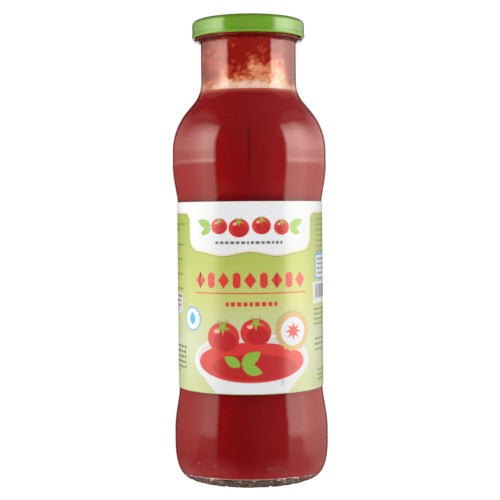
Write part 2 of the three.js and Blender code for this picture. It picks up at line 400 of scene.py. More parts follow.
def make_object(name, vertices, faces, smooth=True):
    """A mesh object from vertices in millimetres."""
    mesh = bpy.data.meshes.new(name)
    mesh.from_pydata((np.asarray(vertices, float) * MM).tolist(), [], faces)
    mesh.update()
    mesh.polygons.foreach_set("use_smooth", [smooth] * len(mesh.polygons))
    piece = bpy.data.objects.new(name, mesh)
    bpy.context.scene.collection.objects.link(piece)
    return piece


def ring_faces(low, high):
    """The faces between two rings of vertices, either of which may be a single one."""
    faces = []
    count = max(len(low), len(high))
    for k in range(count):
        after = (k + 1) % count
        if len(low) == 1:
            faces.append((low[0], high[after], high[k]))
        elif len(high) == 1:
            faces.append((low[k], low[after], high[0]))
        else:
            faces.append((low[k], low[after], high[after], high[k]))
    return faces


def turned_grid(points, segments, shape=None):
    """Vertices and faces of a profile turned about the axis. Angle 0 is the front, and it grows
    towards +X. shape may move the points of each ring: it takes angle, radius and height arrays."""
    profile = [p for k, p in enumerate(points) if k == 0 or dist(p, points[k - 1]) > 1e-6]
    angles = np.arange(segments) * 2 * pi / segments
    vertices = []
    rings = []
    for radius, height in profile:
        if radius < 1e-6:
            rings.append([len(vertices)])
            vertices.append((0, 0, height))
            continue
        radii = np.full(segments, float(radius))
        heights = np.full(segments, float(height))
        if shape is not None:
            radii, heights = shape(angles, radii, heights)
        first = len(vertices)
        rings.append(list(range(first, first + segments)))
        vertices.extend(zip(radii * np.sin(angles), -radii * np.cos(angles), heights))
    faces = []
    for low, high in zip(rings, rings[1:]):
        faces += ring_faces(low, high)
    return vertices, faces, rings


def turned(name, points, segments, shape=None, closed=False):
    """An object made by turning a profile. A closed profile joins its last ring to its first."""
    vertices, faces, rings = turned_grid(points, segments, shape)
    if closed:
        faces += ring_faces(rings[-1], rings[0])
    return make_object(name, vertices, faces)


def thick_skin(front, back, faces):
    """A closed thin shell from a front skin, the same skin moved back, and walls round its rims.
    Also says for each face whether it is front 1, back -1 or wall 0."""
    count = len(front)
    edges = {edge for face in faces for edge in zip(face, face[1:] + face[:1])}
    rims = [(a, b) for a, b in sorted(edges) if (b, a) not in edges]
    walls = [(b, a, a + count, b + count) for a, b in rims]
    backs = [tuple(k + count for k in face[::-1]) for face in faces]
    sides = [1] * len(faces) + [-1] * len(faces) + [0] * len(walls)
    return list(front) + list(back), list(faces) + backs + walls, sides


def smooth_step(low, high, value):
    """0 below low, 1 above high, smooth between."""
    t = np.clip((value - low) / (high - low), 0, 1)
    return t * t * (3 - 2 * t)


def from_axis(angle, radius, height):
    """The point at an angle from the front, a radius from the axis and a height."""
    return (radius * sin(angle), -radius * cos(angle), height)


def select_alone(pieces):
    """Selects these pieces and no others, with the first one active."""
    bpy.ops.object.select_all(action="DESELECT")
    for piece in pieces:
        piece.select_set(True)
    bpy.context.view_layer.objects.active = pieces[0]


def joined(name, pieces):
    """One object from several."""
    select_alone(pieces)
    bpy.ops.object.join()
    pieces[0].name = name
    pieces[0].data.name = name
    return pieces[0]


def dome(name, angle, distance, height, radius, rise, facing=1):
    """A small closed bump on a wall round the axis, half sunk in it. It faces outwards, or
    inwards with facing -1."""
    mesh = bmesh.new()
    bmesh.ops.create_icosphere(mesh, subdivisions=2, radius=1)
    centre = Vector(from_axis(angle, distance, height))
    turn = Vector(from_axis(angle, facing, 0)).to_track_quat("Z", "Y")
    vertices = [
        centre + turn @ Vector((v.co.x * radius, v.co.y * radius, v.co.z * rise))
        for v in mesh.verts
    ]
    faces = [[v.index for v in f.verts] for f in mesh.faces]
    mesh.free()
    return make_object(name, vertices, faces)


# Materials


def new_material(name):
    """A node material that is still empty."""
    material = bpy.data.materials.new(name)
    material.use_nodes = True
    material.node_tree.nodes.clear()
    return material


def add_node(tree, kind, inputs=(), **settings):
    """A shader node with its settings, and its inputs set to values or linked to outputs."""
    node = tree.nodes.new("ShaderNode" + kind)
    for key, value in settings.items():
        setattr(node, key, value)
    for key, value in dict(inputs).items():
        if isinstance(value, bpy.types.NodeSocket):
            tree.links.new(value, node.inputs[key])
        else:
            node.inputs[key].default_value = value
    return node


def surfaced(material, shader):
    """The material, with a shader node as its surface."""
    add_node(material.node_tree, "OutputMaterial", {"Surface": shader.outputs[0]})
    return material


def principled(material, inputs):
    """The material, with one Principled shader as its surface."""
    shader = add_node(material.node_tree, "BsdfPrincipled", inputs)
    return surfaced(material, shader)


def maths(tree, operation, result, *others):
    """A Math operation on one value, or on it and each of the others in turn."""
    for other in others or (0.0,):
        inputs = {0: result, 1: other}
        result = add_node(tree, "Math", inputs, operation=operation).outputs[0]
    return result


def place_parts(tree, kind="Object"):
    """The X, Y and Z outputs of a texture coordinate."""
    where = add_node(tree, "TexCoord").outputs[kind]
    return add_node(tree, "SeparateXYZ", {0: where}).outputs


def object_noise(tree, scale, detail=3.0, roughness=0.55):
    """Noise on the object's own coordinates, in metres."""
    where = add_node(tree, "TexCoord").outputs["Object"]
    inputs = {"Vector": where, "Scale": scale, "Detail": detail, "Roughness": roughness}
    return add_node(tree, "TexNoise", inputs).outputs["Fac"]


def mixed_colour(tree, factor, colour_a, colour_b):
    """A blend of two colours, each a value or an output."""
    inputs = {0: factor, 6: colour_a, 7: colour_b}
    return add_node(tree, "Mix", inputs, data_type="RGBA").outputs[2]


def mapped(tree, value, from_low, from_high, to_low=0.0, to_high=1.0):
    """A value moved from one range to another, clamped."""
    inputs = {0: value, 1: from_low, 2: from_high, 3: to_low, 4: to_high}
    return add_node(tree, "MapRange", inputs).outputs[0]


def ramped(tree, value, stops):
    """The colour at a value, from stops of position and colour in rising order."""
    ramp = add_node(tree, "ValToRGB", {0: value})
    elements = ramp.color_ramp.elements
    for element, (position, colour) in zip(elements, (stops[0], stops[-1])):
        element.position = position
        element.color = (*colour, 1)
    for position, colour in stops[1:-1]:
        elements.new(position).color = (*colour, 1)
    return ramp.outputs[0]


def bump(tree, height, strength, distance):
    """A bump from a height."""
    inputs = {"Height": height, "Strength": strength, "Distance": distance}
    return add_node(tree, "Bump", inputs).outputs["Normal"]


def glass_material():
    """Clear soda-lime glass with faint waves. Lamps shine through it."""
    material = new_material("clear_glass")
    tree = material.node_tree
    waves = object_noise(tree, 38.0, 1.5)
    glass = add_node(
        tree,
        "BsdfPrincipled",
        {
            "Base Color": (0.97, 0.985, 0.98, 1),
            "Roughness": 0.0,
            "IOR": 1.52,
            "Transmission Weight": 1.0,
            "Normal": bump(tree, waves, 0.12, 0.0012),
        },
    )
    clear = add_node(tree, "BsdfTransparent", {"Color": (0.93, 0.94, 0.935, 1)})
    path = add_node(tree, "LightPath").outputs
    lets = maths(tree, "MAXIMUM", path["Is Shadow Ray"], path["Is Diffuse Ray"])
    shaders = {0: lets, 1: glass.outputs[0], 2: clear.outputs[0]}
    return surfaced(material, add_node(tree, "MixShader", shaders))


def front_painted_shade(tree, x, y, z):
    """How strongly the fine dark line of painted shade down the front of the passata shows."""
    off_middle = maths(tree, "ABSOLUTE", x)
    thin = mapped(tree, off_middle, PAINTED_SHADE_CORE * MM, PAINTED_SHADE_HALF_WIDTH * MM, 1.0, 0.0)
    in_front = maths(tree, "LESS_THAN", y, 0.0)
    low_end = mapped(tree, z, PAINTED_SHADE_LOW * MM, (PAINTED_SHADE_LOW + PAINTED_SHADE_FADE_IN) * MM)
    fade_out = (PAINTED_SHADE_HIGH - PAINTED_SHADE_FADE_OUT) * MM
    high_end = mapped(tree, z, fade_out, PAINTED_SHADE_HIGH * MM, 1.0, 0.0)
    return maths(tree, "MULTIPLY", thin, in_front, low_end, high_end)


def passata_material():
    """Smooth, deep red passata with fine pulp. It is browner just under its surface line, and has a
    fine dark line of painted shade down its front. Where the heel turns under it there is first a
    pale painted highlight, then dark, blotched painted shade."""
    material = new_material("tomato_passata")
    tree = material.node_tree
    x, y, z = place_parts(tree)
    upright = place_parts(tree, "Normal")["Z"]
    deep = (0.158, 0.0010, 0.0022, 1)
    warm = (0.195, 0.0042, 0.0036, 1)
    # Painted shade: the colour of the fine dark line down the front
    painted_shade_colour = (0.10, 0.0, 0.0005, 1)
    rim = (0.38, 0.082, 0.046, 1)
    # Painted highlight: the pale line where the heel turns under the passata
    heel_painted_highlight = (0.42, 0.33, 0.27, 1)
    pulp = mapped(tree, object_noise(tree, 420.0, 4.0), 0.5, 0.72)
    clouds = mapped(tree, object_noise(tree, 45.0, 3.0), 0.35, 0.75)
    near_level = mapped(tree, z, (FILL_LEVEL - 3.0) * MM, FILL_LEVEL * MM)
    # Painted shade under the heel, broken into dark blotches
    heel_shade_blotch = mapped(tree, object_noise(tree, 330.0, 3.0, 0.7), 0.42, 0.62)
    heel_painted_shade = mixed_colour(tree, heel_shade_blotch, (0.020, 0.008, 0.005, 1), (0.10, 0.062, 0.045, 1))
    colour = deep
    for share, tint in (
        (maths(tree, "MULTIPLY", pulp, 0.35), warm),
        (maths(tree, "MULTIPLY", clouds, 0.25), warm),
        (front_painted_shade(tree, x, y, z), painted_shade_colour),
        (maths(tree, "POWER", near_level, 2.2), rim),
        (mapped(tree, upright, -0.962, -0.969), heel_painted_highlight),
        (mapped(tree, upright, -0.972, -0.979), heel_painted_shade),
    ):
        colour = mixed_colour(tree, share, colour, tint)
    inputs = {
        "Base Color": colour,
        "Roughness": 0.45,
        "IOR": 1.36,
        "Specular IOR Level": 0.03,
        "Normal": bump(tree, pulp, 0.1, 0.0002),
    }
    return principled(material, inputs)


def film_material():
    """Passata left on the neck: deep red where thick, orange and see-through where thin. The pale
    peach of the thinnest parts is partly the coat's own colour and partly painted light shining
    through from behind.
    """
    material = new_material("passata_film")
    tree = material.node_tree
    cover = add_node(tree, "Attribute", attribute_name="cover").outputs["Fac"]
    fine = maths(tree, "SUBTRACT", object_noise(tree, 480.0, 5.0, 0.7), 0.5)
    ragged = maths(tree, "ADD", cover, maths(tree, "MULTIPLY", fine, 0.8))
    # The pale colours at the thin end are partly the coat's own colour and partly painted backlight
    stops = (
        (0.0, (0.84, 0.57, 0.44)),
        (0.2, (0.68, 0.40, 0.27)),
        (0.4, (0.48, 0.18, 0.085)),
        (0.6, (0.33, 0.050, 0.019)),
        (0.85, (0.17, 0.0035, 0.0022)),
    )
    inputs = {
        "Base Color": ramped(tree, ragged, stops),
        "Roughness": 0.4,
        "Specular IOR Level": 0.03,
        "Alpha": mapped(tree, ragged, 0.0, 0.5, 0.4, 1.0),
    }
    return principled(material, inputs)


def cap_material():
    """Green lacquer on tinplate, with faint orange peel."""
    material = new_material("green_lacquer")
    tree = material.node_tree
    cloud = mapped(tree, object_noise(tree, 130.0, 3.0), 0.3, 0.7)
    inputs = {
        "Base Color": mixed_colour(tree, cloud, (0.097, 0.222, 0.0115, 1), (0.107, 0.240, 0.0132, 1)),
        "Roughness": mapped(tree, object_noise(tree, 800.0, 2.0), 0.3, 0.7, 0.16, 0.24),
        "Coat Weight": 0.3,
        "Coat Roughness": 0.08,
        "Normal": bump(tree, object_noise(tree, 900.0, 2.0), 0.06, 0.0002),
    }
    return principled(material, inputs)


def paper_finish(material, colour, gloss=1.0):
    """The material with the finish of the coated label paper, for its own colour or an ink."""
    inputs = {
        "Base Color": colour,
        "Roughness": 0.28,
        "Specular IOR Level": 0.9 * gloss,
        "Coat Weight": 0.48 * gloss,
        "Coat Roughness": 0.25,
    }
    return principled(material, inputs)


def label_material():
    """Yellow-green paper that pales towards the bottom."""
    material = new_material("label_paper")
    tree = material.node_tree
    share = mapped(tree, place_parts(tree)["Z"], LABEL_BOTTOM * MM, LABEL_TOP * MM)
    stops = (
        (0.05, (0.53, 0.58, 0.28)),
        (0.25, (0.58, 0.61, 0.40)),
        (0.49, (0.52, 0.55, 0.165)),
        (0.68, (0.435, 0.495, 0.095)),
        (0.9, (0.345, 0.43, 0.052)),
    )
    return paper_finish(material, ramped(tree, share, stops))


def finish_piece(piece, material, replaced=None):
    """Gives a piece its material and body, and hides the node it stands for."""
    piece.data.materials.clear()
    piece.data.materials.append(material)
    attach(piece, BODY)
    if replaced:
        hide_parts(replaced)
    return piece


# Glass


def glass_relief(angles, radii, heights):
    """Moves the points of one ring of the glass, for the thread ridges on the finish and for the
    stipples under the heel."""
    height = heights[0]
    radius = radii[0]
    if FINISH_RADIUS - 0.01 < radius < FINISH_RADIUS + 0.01 and height > BEAD_TOP + 1:
        share = (angles / (2 * pi) * THREAD_COUNT) % 1.0
        middle = THREAD_START_HEIGHT + THREAD_RISE * share
        ridge = np.exp(-(((height - middle) / THREAD_WIDTH) ** 2))
        ends = smooth_step(*THREAD_TAPER, share) * smooth_step(*THREAD_TAPER, THREAD_SHARE - share)
        radii = radii + THREAD_DEPTH * ridge * ends
    across_heel = (radius - STIPPLE_INNER_RADIUS) / STIPPLE_REACH
    if height < HEEL_RISE and 0.01 < across_heel < 1:
        fade = sin(pi * across_heel) ** 0.4
        places = zip(radius * np.sin(angles), radius * np.cos(angles))
        pits = np.array([
            max(noise.noise(Vector((x, y, height)) * STIPPLE_FINENESS), 0) for x, y in places
        ])
        radii = radii - STIPPLE_DEPTH * fade * pits
        heights = heights + STIPPLE_DEPTH * fade * pits
    return radii, heights


def heel_dots():
    """Two short rows of small raised dots low on the front of the glass."""
    distance = LOWER_ROLL_RADIUS - HEEL_DOT_SINK
    dots = []
    for start, end, height in HEEL_DOT_ROWS:
        for k in range(HEEL_DOTS_IN_ROW):
            angle = radians(start + (end - start) * k / (HEEL_DOTS_IN_ROW - 1))
            up = height + HEEL_DOT_WANDER * sin(2.4 * k)
            dots.append(dome("heel_dot", angle, distance, up, HEEL_DOT_RADIUS, HEEL_DOT_RISE))
    return dots


def make_glass():
    outline = glass_outside()
    lip_inside = (BORE_RADIUS + LIP_ROUND, LIP_TOP - LIP_ROUND)
    outline.arc(lip_inside, LIP_ROUND, pi / 2, pi, 5)
    inside = glass_inside(GLASS_WALL).points
    points = outline.points + inside[::-1]
    body = turned("bottle_glass", points, GLASS_SEGMENTS, glass_relief)
    glass = joined("bottle_glass", [body] + heel_dots())
    return finish_piece(glass, glass_material(), "bottle")


# Passata


def make_passata():
    """The fill: it reaches just into the wall, and creeps up it a little at its level."""
    wall = glass_inside(GLASS_WALL - WALL_REACH).points
    below = [p for p in wall if p[1] < FILL_LEVEL - 0.4]
    above = wall[len(below)]
    share = (FILL_LEVEL - below[-1][1]) / (above[1] - below[-1][1])
    rim_radius = below[-1][0] + (above[0] - below[-1][0]) * share
    shoulder, handle_a, handle_b, foot = [
        (rim_radius - inwards, FILL_LEVEL - down) for inwards, down in PASSATA_RIM
    ]
    outline = Outline(*below[0])
    outline.points = list(below)
    outline.line(rim_radius, FILL_LEVEL)
    outline.line(*shoulder)
    outline.curve(handle_a, handle_b, foot, 6)
    outline.line(0, foot[1], SURFACE_RINGS)

    def thick_surface(angles, radii, heights):
        """Low lumps on the rings of the surface, none at its rim."""
        on_top = heights[0] > foot[1] - 0.05 and radii[0] < rim_radius - 2
        if not on_top:
            return radii, heights
        lumps = [
            noise.noise(Vector((r * sin(a), r * cos(a), 0)) * SURFACE_LUMP_FINENESS)
            for a, r in zip(angles, radii)
        ]
        fade = smooth_step(0, 6, rim_radius - radii)
        return radii, heights + SURFACE_LUMP_RISE * np.array(lumps) * fade

    fill = turned("passata_fill", outline.points, PIECE_SEGMENTS, thick_surface)
    return finish_piece(fill, passata_material(), "passata")


# Where the coat on the neck is thicker or thinner: sine of the angle from the front, height
# above the fill level, their two spreads, and the change
FILM_PATCHES = (
    (-0.80, 2.0, 0.22, 3.0, 0.35),
    (-0.80, 17.0, 0.25, 9.0, -0.22),
    (-0.53, 9.0, 0.12, 6.5, -0.27),
    (-0.32, 10.0, 0.12, 4.0, -0.20),
    (0.18, 9.5, 0.34, 4.5, -0.55),
    (0.66, 8.5, 0.16, 3.8, -0.62),
    (0.60, 15.0, 0.15, 4.5, -0.30),
    (0.93, 3.0, 0.12, 4.0, 0.30),
)


def film_cover(angle, height):
    """How thickly passata coats the inside of the neck, 0 bare to 1 thick."""
    above_level = height - FILL_LEVEL
    at_front = float(smooth_step(-0.35, 0.0, cos(angle)))
    start = FILM_START_BACK + (FILM_START_FRONT - FILM_START_BACK) * at_front
    climb = float(smooth_step(start, start + FILM_START_FADE, above_level))
    cover = FILM_LEAST_COVER + FILM_COVER_GAIN * climb
    if at_front > 0:
        for across, up, wide, tall, change in FILM_PATCHES:
            offset = ((sin(angle) - across) / wide) ** 2 + ((above_level - up) / tall) ** 2
            cover += at_front * change * exp(-offset)
    place = Vector((sin(angle), cos(angle), height * 0.045))
    cover += 0.22 * noise.fractal(place * 4, 0.8, 2.1, 4)
    cover += 0.16 * noise.fractal(place * 14, 0.7, 2.0, 3)
    return min(max(cover, 0.0), 1.0)


def make_neck_film():
    """A coat on the inside of the neck, from the fill level to the lip. Its outer face reaches
    just into the wall, and its inner face stands further in where it is thicker."""
    bottom, top = FILL_LEVEL - 0.2, LIP_TOP - 3.0
    wall = np.array([p for p in glass_inside(GLASS_WALL).points if p[1] > LABEL_TOP])
    outer, inner, covers = [], [], []
    for row in range(FILM_ROWS + 1):
        height = bottom + (top - bottom) * row / FILM_ROWS
        bore = float(np.interp(height, wall[:, 1], wall[:, 0]))
        for column in range(FILM_COLUMNS):
            angle = 2 * pi * column / FILM_COLUMNS
            cover = film_cover(angle, height)
            depth = FILM_LEAST_DEPTH + FILM_DEPTH * cover * cover
            outer.append(from_axis(angle, bore + FILM_REACH, height))
            inner.append(from_axis(angle, bore - depth, height))
            covers.append(cover)
    faces = []
    for low in range(0, FILM_ROWS * FILM_COLUMNS, FILM_COLUMNS):
        high = low + FILM_COLUMNS
        faces += ring_faces(range(low, high), range(high, high + FILM_COLUMNS))
    vertices, all_faces, _ = thick_skin(outer, inner, faces)
    film = make_object("neck_film", vertices, all_faces)
    attribute = film.data.attributes.new("cover", "FLOAT", "POINT")
    attribute.data.foreach_set("value", covers + covers)
    return finish_piece(film, film_material())


def make_neck_drops():
    """Small drops of passata on the inside of the neck, low down, above the level."""
    rng = random.Random(11)
    drops = []
    for _ in range(DROP_COUNT):
        angle = rng.uniform(-pi, pi)
        height = FILL_LEVEL + DROP_LOWEST + DROP_SPREAD * rng.random() ** 1.4
        radius = rng.uniform(DROP_SMALLEST, DROP_LARGEST)
        under_straight = max(neck_straight_start() - height, 0)
        flare = 0.5 * under_straight**2 / (NECK_ARC_RADIUS + GLASS_WALL)
        drops.append(dome("drop", angle, BORE_RADIUS + 0.05 + flare, height, radius, radius * 0.5))
    piece = joined("neck_drops", drops)
    return finish_piece(piece, passata_material())


# Cap


def cap_top(lowered):
    """The top sheet's upper or lower face, from the middle to the rim."""
    rim = CAP_TOP - lowered
    panel = rim - CAP_PANEL_DROP
    button = panel - CAP_BUTTON_DROP
    run = Outline(0, button)
    run.line(CAP_BUTTON_RADIUS - 2 * CAP_STEP, button, 4)
    bend = CAP_BUTTON_RADIUS - CAP_STEP
    run.curve((bend, button), (bend, panel), (CAP_BUTTON_RADIUS, panel), 6)
    run.line(CAP_RIM_INNER_RADIUS - 2 * CAP_STEP, panel, 5)
    bend = CAP_RIM_INNER_RADIUS - CAP_STEP
    run.curve((bend, panel), (bend, rim), (CAP_RIM_INNER_RADIUS, rim), 6)
    return run


def cap_lugs(distance, height):
    """The small lugs under the thread ridges, each of three bumps side by side."""
    lugs = []
    for k in range(CAP_LUG_COUNT):
        for side in (-1, 0, 1):
            angle = (k + 0.5) / CAP_LUG_COUNT * 2 * pi + side * CAP_LUG_SPACING
            radius = CAP_CURL_RADIUS * 0.8
            lugs.append(dome("lug", angle, distance, height, radius, CAP_LUG_RISE, facing=-1))
    return lugs


def make_cap():
    curl_middle = CAP_REACH - CAP_CURL_RADIUS
    curl_height = CAP_BOTTOM + CAP_CURL_RADIUS
    curl_top = curl_height + CAP_CURL_RADIUS
    corner = (CAP_SKIRT_RADIUS - CAP_CORNER, CAP_TOP - CAP_CORNER)
    outline = cap_top(CAP_SHEET)
    outline.arc(corner, CAP_CORNER - CAP_SHEET, pi / 2, 0, 8)
    outline.line(CAP_SKIRT_RADIUS - CAP_SHEET, curl_top, 3)
    outline.arc((curl_middle, curl_height), CAP_CURL_RADIUS, pi * 0.6, pi * 2.1, 18)
    outline.curve(
        (CAP_REACH, curl_top),
        (CAP_SKIRT_RADIUS, curl_top),
        (CAP_SKIRT_RADIUS, curl_top + CAP_CURL_RADIUS),
        5,
    )
    outline.arc(corner, CAP_CORNER, 0, pi / 2, 12)
    outline.points += cap_top(0).points[::-1][1:]
    shell = turned("cap_shell", outline.points, PIECE_SEGMENTS)
    cap = joined("cap_shell", [shell] + cap_lugs(curl_middle - 0.5, curl_height))
    return finish_piece(cap, cap_material(), "cap")


# Label and its print


def label_seam(angles, radii, heights):
    """The glued overlap at the back: the upper end of the paper lies over the lower one."""
    if radii[0] < LABEL_RADIUS - LABEL_THICKNESS / 2:
        return radii, heights
    past = np.degrees(angles) - SEAM_START
    over = np.where(past >= 0, 1 - smooth_step(SEAM_FLAP, SEAM_FLAP + SEAM_EASE, past), 0)
    return radii + LABEL_FLAP_THICKNESS * over, heights


def make_label():
    inner = LABEL_RADIUS - LABEL_THICKNESS
    outline = Outline(inner, LABEL_BOTTOM)
    outline.line(LABEL_RADIUS, LABEL_BOTTOM)
    outline.line(LABEL_RADIUS, LABEL_TOP, LABEL_ROWS)
    outline.line(inner, LABEL_TOP)
    label = turned("label_sheet", outline.points, GLASS_SEGMENTS, label_seam, closed=True)
    select_alone([label])
    bpy.ops.object.shade_smooth_by_angle(angle=radians(40))
    return finish_piece(label, label_material(), "label")


def box(left, right, low, high):
    """Outline of a box with square corners, anticlockwise, in label millimetres."""
    return [(left, low), (right, low), (right, high), (left, high)]


def rounded_box(left, right, low, high, radius, steps=8):
    """Outline of a box with round corners, anticlockwise."""
    points = []
    for quarter, (x, y) in enumerate(box(left + radius, right - radius, low + radius, high - radius)):
        start = (quarter + 2) % 4 * pi / 2
        points += arc_points(x, y, radius, radius, start, start + pi / 2, steps)
    return points


def oval(x, y, across, up, steps=64):
    """Outline of an oval, anticlockwise."""
    return arc_points(x, y, across, up, 0, 2 * pi, steps)[:-1]


def round_outline(x, y, radii, turn=0.0):
    """Outline through radii at even angles about a middle, anticlockwise."""
    points = []
    for k, radius in enumerate(radii):
        angle = radians(turn + 360.0 * k / len(radii))
        points.append((x + radius * cos(angle), y + radius * sin(angle)))
    return points


def star(x, y, outer, inner, tips, turn=90.0):
    """Outline of a star."""
    return round_outline(x, y, (outer, inner) * tips, turn)


def leaf(x, y, length, width, tilt):
    """Outline of a pointed leaf from its stalk end at x, y."""
    side = []
    for k in range(LEAF_STEPS + 1):
        t = k / LEAF_STEPS
        side.append((length * t, width * 0.5 * sin(pi * t) ** 0.8 * (1.15 - 0.3 * t)))
    outline = side + [(px, -py) for px, py in side[::-1][1:-1]]
    run, climb = cos(radians(tilt)), sin(radians(tilt))
    return [(x + px * run - py * climb, y + px * climb + py * run) for px, py in outline]


def lozenge(x, y, across, up):
    """Outline of an upright diamond."""
    return [(x + across, y), (x, y + up), (x - across, y), (x, y - up)]


def on_label(across, up, layer):
    """A place on the label: arc length from the front's middle, height and ink layer."""
    return from_axis(across / LABEL_RADIUS, LABEL_RADIUS + INK_STEP * layer, LABEL_BOTTOM + up)


def print_shapes(name, shapes, layer, material):
    """One ink: flat outlines in label millimetres, cut into narrow upright slices, then bent
    round the label and given a little thickness."""
    mesh = bmesh.new()
    for outline in shapes:
        corners = [mesh.verts.new((x, y, 0)) for x, y in outline]
        mesh.faces.new(corners)
    xs = [v.co.x for v in mesh.verts]
    cut = min(xs) + INK_SLICE
    while cut < max(xs):
        geometry = mesh.verts[:] + mesh.edges[:] + mesh.faces[:]
        bmesh.ops.bisect_plane(mesh, geom=geometry, plane_co=(cut, 0, 0), plane_no=(1, 0, 0))
        cut += INK_SLICE
    bmesh.ops.triangulate(mesh, faces=mesh.faces[:])
    bmesh.ops.recalc_face_normals(mesh, faces=mesh.faces[:])
    for face in mesh.faces:
        if face.normal.z < 0:
            face.normal_flip()
    mesh.verts.index_update()
    front = [on_label(v.co.x, v.co.y, layer) for v in mesh.verts]
    back = [on_label(v.co.x, v.co.y, layer - INK_DEPTH) for v in mesh.verts]
    faces = [tuple(v.index for v in f.verts) for f in mesh.faces]
    mesh.free()
    vertices, all_faces, sides = thick_skin(front, back, faces)
    piece = make_object(name, vertices, all_faces)
    normals = []
    for polygon, side in zip(piece.data.polygons, sides):
        for corner in polygon.vertices:
            outward = Vector((vertices[corner][0], vertices[corner][1], 0)).normalized()
            normals.append(outward * side if side else polygon.normal)
    piece.data.normals_split_custom_set(normals)
    return finish_piece(piece, material)


def tab_outline(grow):
    """The white field: a strip along the label's top, with a tab hanging down at the front. Its
    bottom edge waves, and its right side mirrors the left one but for the end of the corner."""
    half = TAB_HALF_WIDTH + grow
    strip = STRIP_BOTTOM - grow
    bottom = TAB_BOTTOM - grow
    wrap = pi * LABEL_RADIUS - FIELD_GAP
    points = [(-wrap, LABEL_HEIGHT), (-wrap, strip)]
    for x, y, radius, start, end in (
        (-half - TAB_TOP_CORNER, strip - TAB_TOP_CORNER, TAB_TOP_CORNER, pi / 2, 0),
        (-half + TAB_CORNER, bottom + TAB_CORNER, TAB_CORNER, pi, pi * 1.5),
    ):
        points += arc_points(x, y, radius, radius, start, end, 8)
    right_side = [(-x, y) for x, y in points[:18][::-1]]
    for k in range(1, 24):
        t = k / 24
        x = (-half + TAB_CORNER) * (1 - 2 * t)
        points.append((x, bottom - TAB_WAVE * sin(2 * pi * t) ** 2))
    return points + right_side


def tomato_shapes(x, y, size):
    """A plain round tomato: body, shade, shine and calyx outlines."""
    body = oval(x, y, size, size * 0.9)
    shade = oval(x + size * 0.12, y - size * 0.22, size * 0.72, size * 0.58)
    shine = oval(x - size * 0.38, y + size * 0.38, size * 0.2, size * 0.13, 24)
    calyx = star(x, y + size * 0.62, size * 0.52, size * 0.16, 5, 54)
    return body, shade, shine, calyx


def tomato_inks(prefix, tomatoes, layer):
    """The three inks of a group of tomatoes, and apart from them the outlines of its calyxes."""
    bodies, shades, shines, calyxes = zip(*(tomato_shapes(*tomato) for tomato in tomatoes))
    inks = [
        (prefix + "_tomatoes", bodies, layer, "red"),
        (prefix + "_tomato_shade", shades, layer + 1, "deep_red"),
        (prefix + "_tomato_shine", shines, layer + 2, "shine"),
    ]
    return inks, list(calyxes)


def dashes(left, right, up, height, seed, shortest=1.2, longest=4.2, gap=0.9):
    """A line of plain small bars of uneven length."""
    rng = random.Random(seed)
    shapes = []
    x = left
    while x < right - shortest:
        end = min(x + rng.uniform(shortest, longest), right)
        shapes.append(box(x, end, up, up + height))
        x = end + gap
    return shapes


def small_print(left, right, top, lines, pitch, height, seed):
    """Lines of plain bars, the last one shorter."""
    shapes = []
    for line in range(lines):
        end = right if line < lines - 1 else left + (right - left) * 0.6
        shapes += dashes(left, end, top - pitch * line, height, seed + line)
    return shapes


def upper_print():
    """The white field with its border, and a row of small tomatoes and leaves on it."""
    tomatoes = ((-15, 80, 4.2), (-5.2, 79.2, 5.0), (5.6, 80.2, 4.6), (15.6, 79.4, 4.0))
    small_tomatoes, calyxes = tomato_inks("small", tomatoes, 4)
    sprigs = [leaf(-19.5, 80, 8, 4.0, 160), leaf(-19.5, 79, 6.5, 3.2, 205)]
    sprigs += [leaf(20.0, 80, 8, 4.0, 20), leaf(20.0, 79, 6.5, 3.2, -25)]
    return [
        ("edge_line", [tab_outline(1.15)], 1, "dark_green"),
        ("border", [tab_outline(0.85)], 2, "cream"),
        ("white_field", [tab_outline(0.0)], 3, "white"),
        *small_tomatoes,
        ("small_leaves", calyxes + sprigs, 6, "leaf_green"),
        ("under_line", dashes(-17, 17, 71.6, 1.3, 5, 1.0, 2.0, 0.8), 4, "grey"),
    ]


def frieze_print():
    """A row of diamonds and bars over a thin rule, and a line of small bars under them."""
    frieze = []
    for k in range(9):
        x = -26.0 + 6.5 * k
        if k % 2 == 0:
            frieze.append(lozenge(x, 54.3, 2.9, 3.9))
        else:
            frieze.append(rounded_box(x - 1.9, x + 1.9, 50.6, 58.0, 1.8))
    frieze.append(rounded_box(-29, 30, 47.9, 48.4, 0.2, 2))
    return [
        ("frieze", frieze, 1, "red"),
        ("second_line", dashes(-12, 13, 42.0, 2.0, 21, 1.4, 2.4, 1.0), 1, "red"),
    ]


def bowl_print():
    """A white bowl of sauce with two tomatoes and basil leaves."""
    foot = [(-24.5, 7.5), (-17.5, 0.35), (18.5, 0.35), (25.5, 7.5)]
    big_tomatoes, calyxes = tomato_inks("big", ((-13.5, 27.0, 8.2), (2.5, 29.5, 7.4)), 6)
    basil = [leaf(-4.5, 14.0, 11, 6.0, 35), leaf(-4.0, 13.2, 10, 5.2, -18), leaf(-5.0, 13.4, 9, 5, 150)]
    return [
        ("dish_side", [foot], 1, "white"),
        ("dish", [oval(0.5, 15.5, 31.0, 13.5, 96)], 2, "white"),
        ("dish_hollow", [oval(0.5, 16.6, 28.6, 11.4, 96)], 3, "pale_grey"),
        ("sauce", [oval(0.5, 15.2, 27.4, 9.6, 96)], 4, "red"),
        ("sauce_shade", [oval(2.0, 12.8, 21.5, 6.2, 72)], 5, "deep_red"),
        *big_tomatoes,
        ("basil", calyxes + basil, 9, "leaf_green"),
    ]


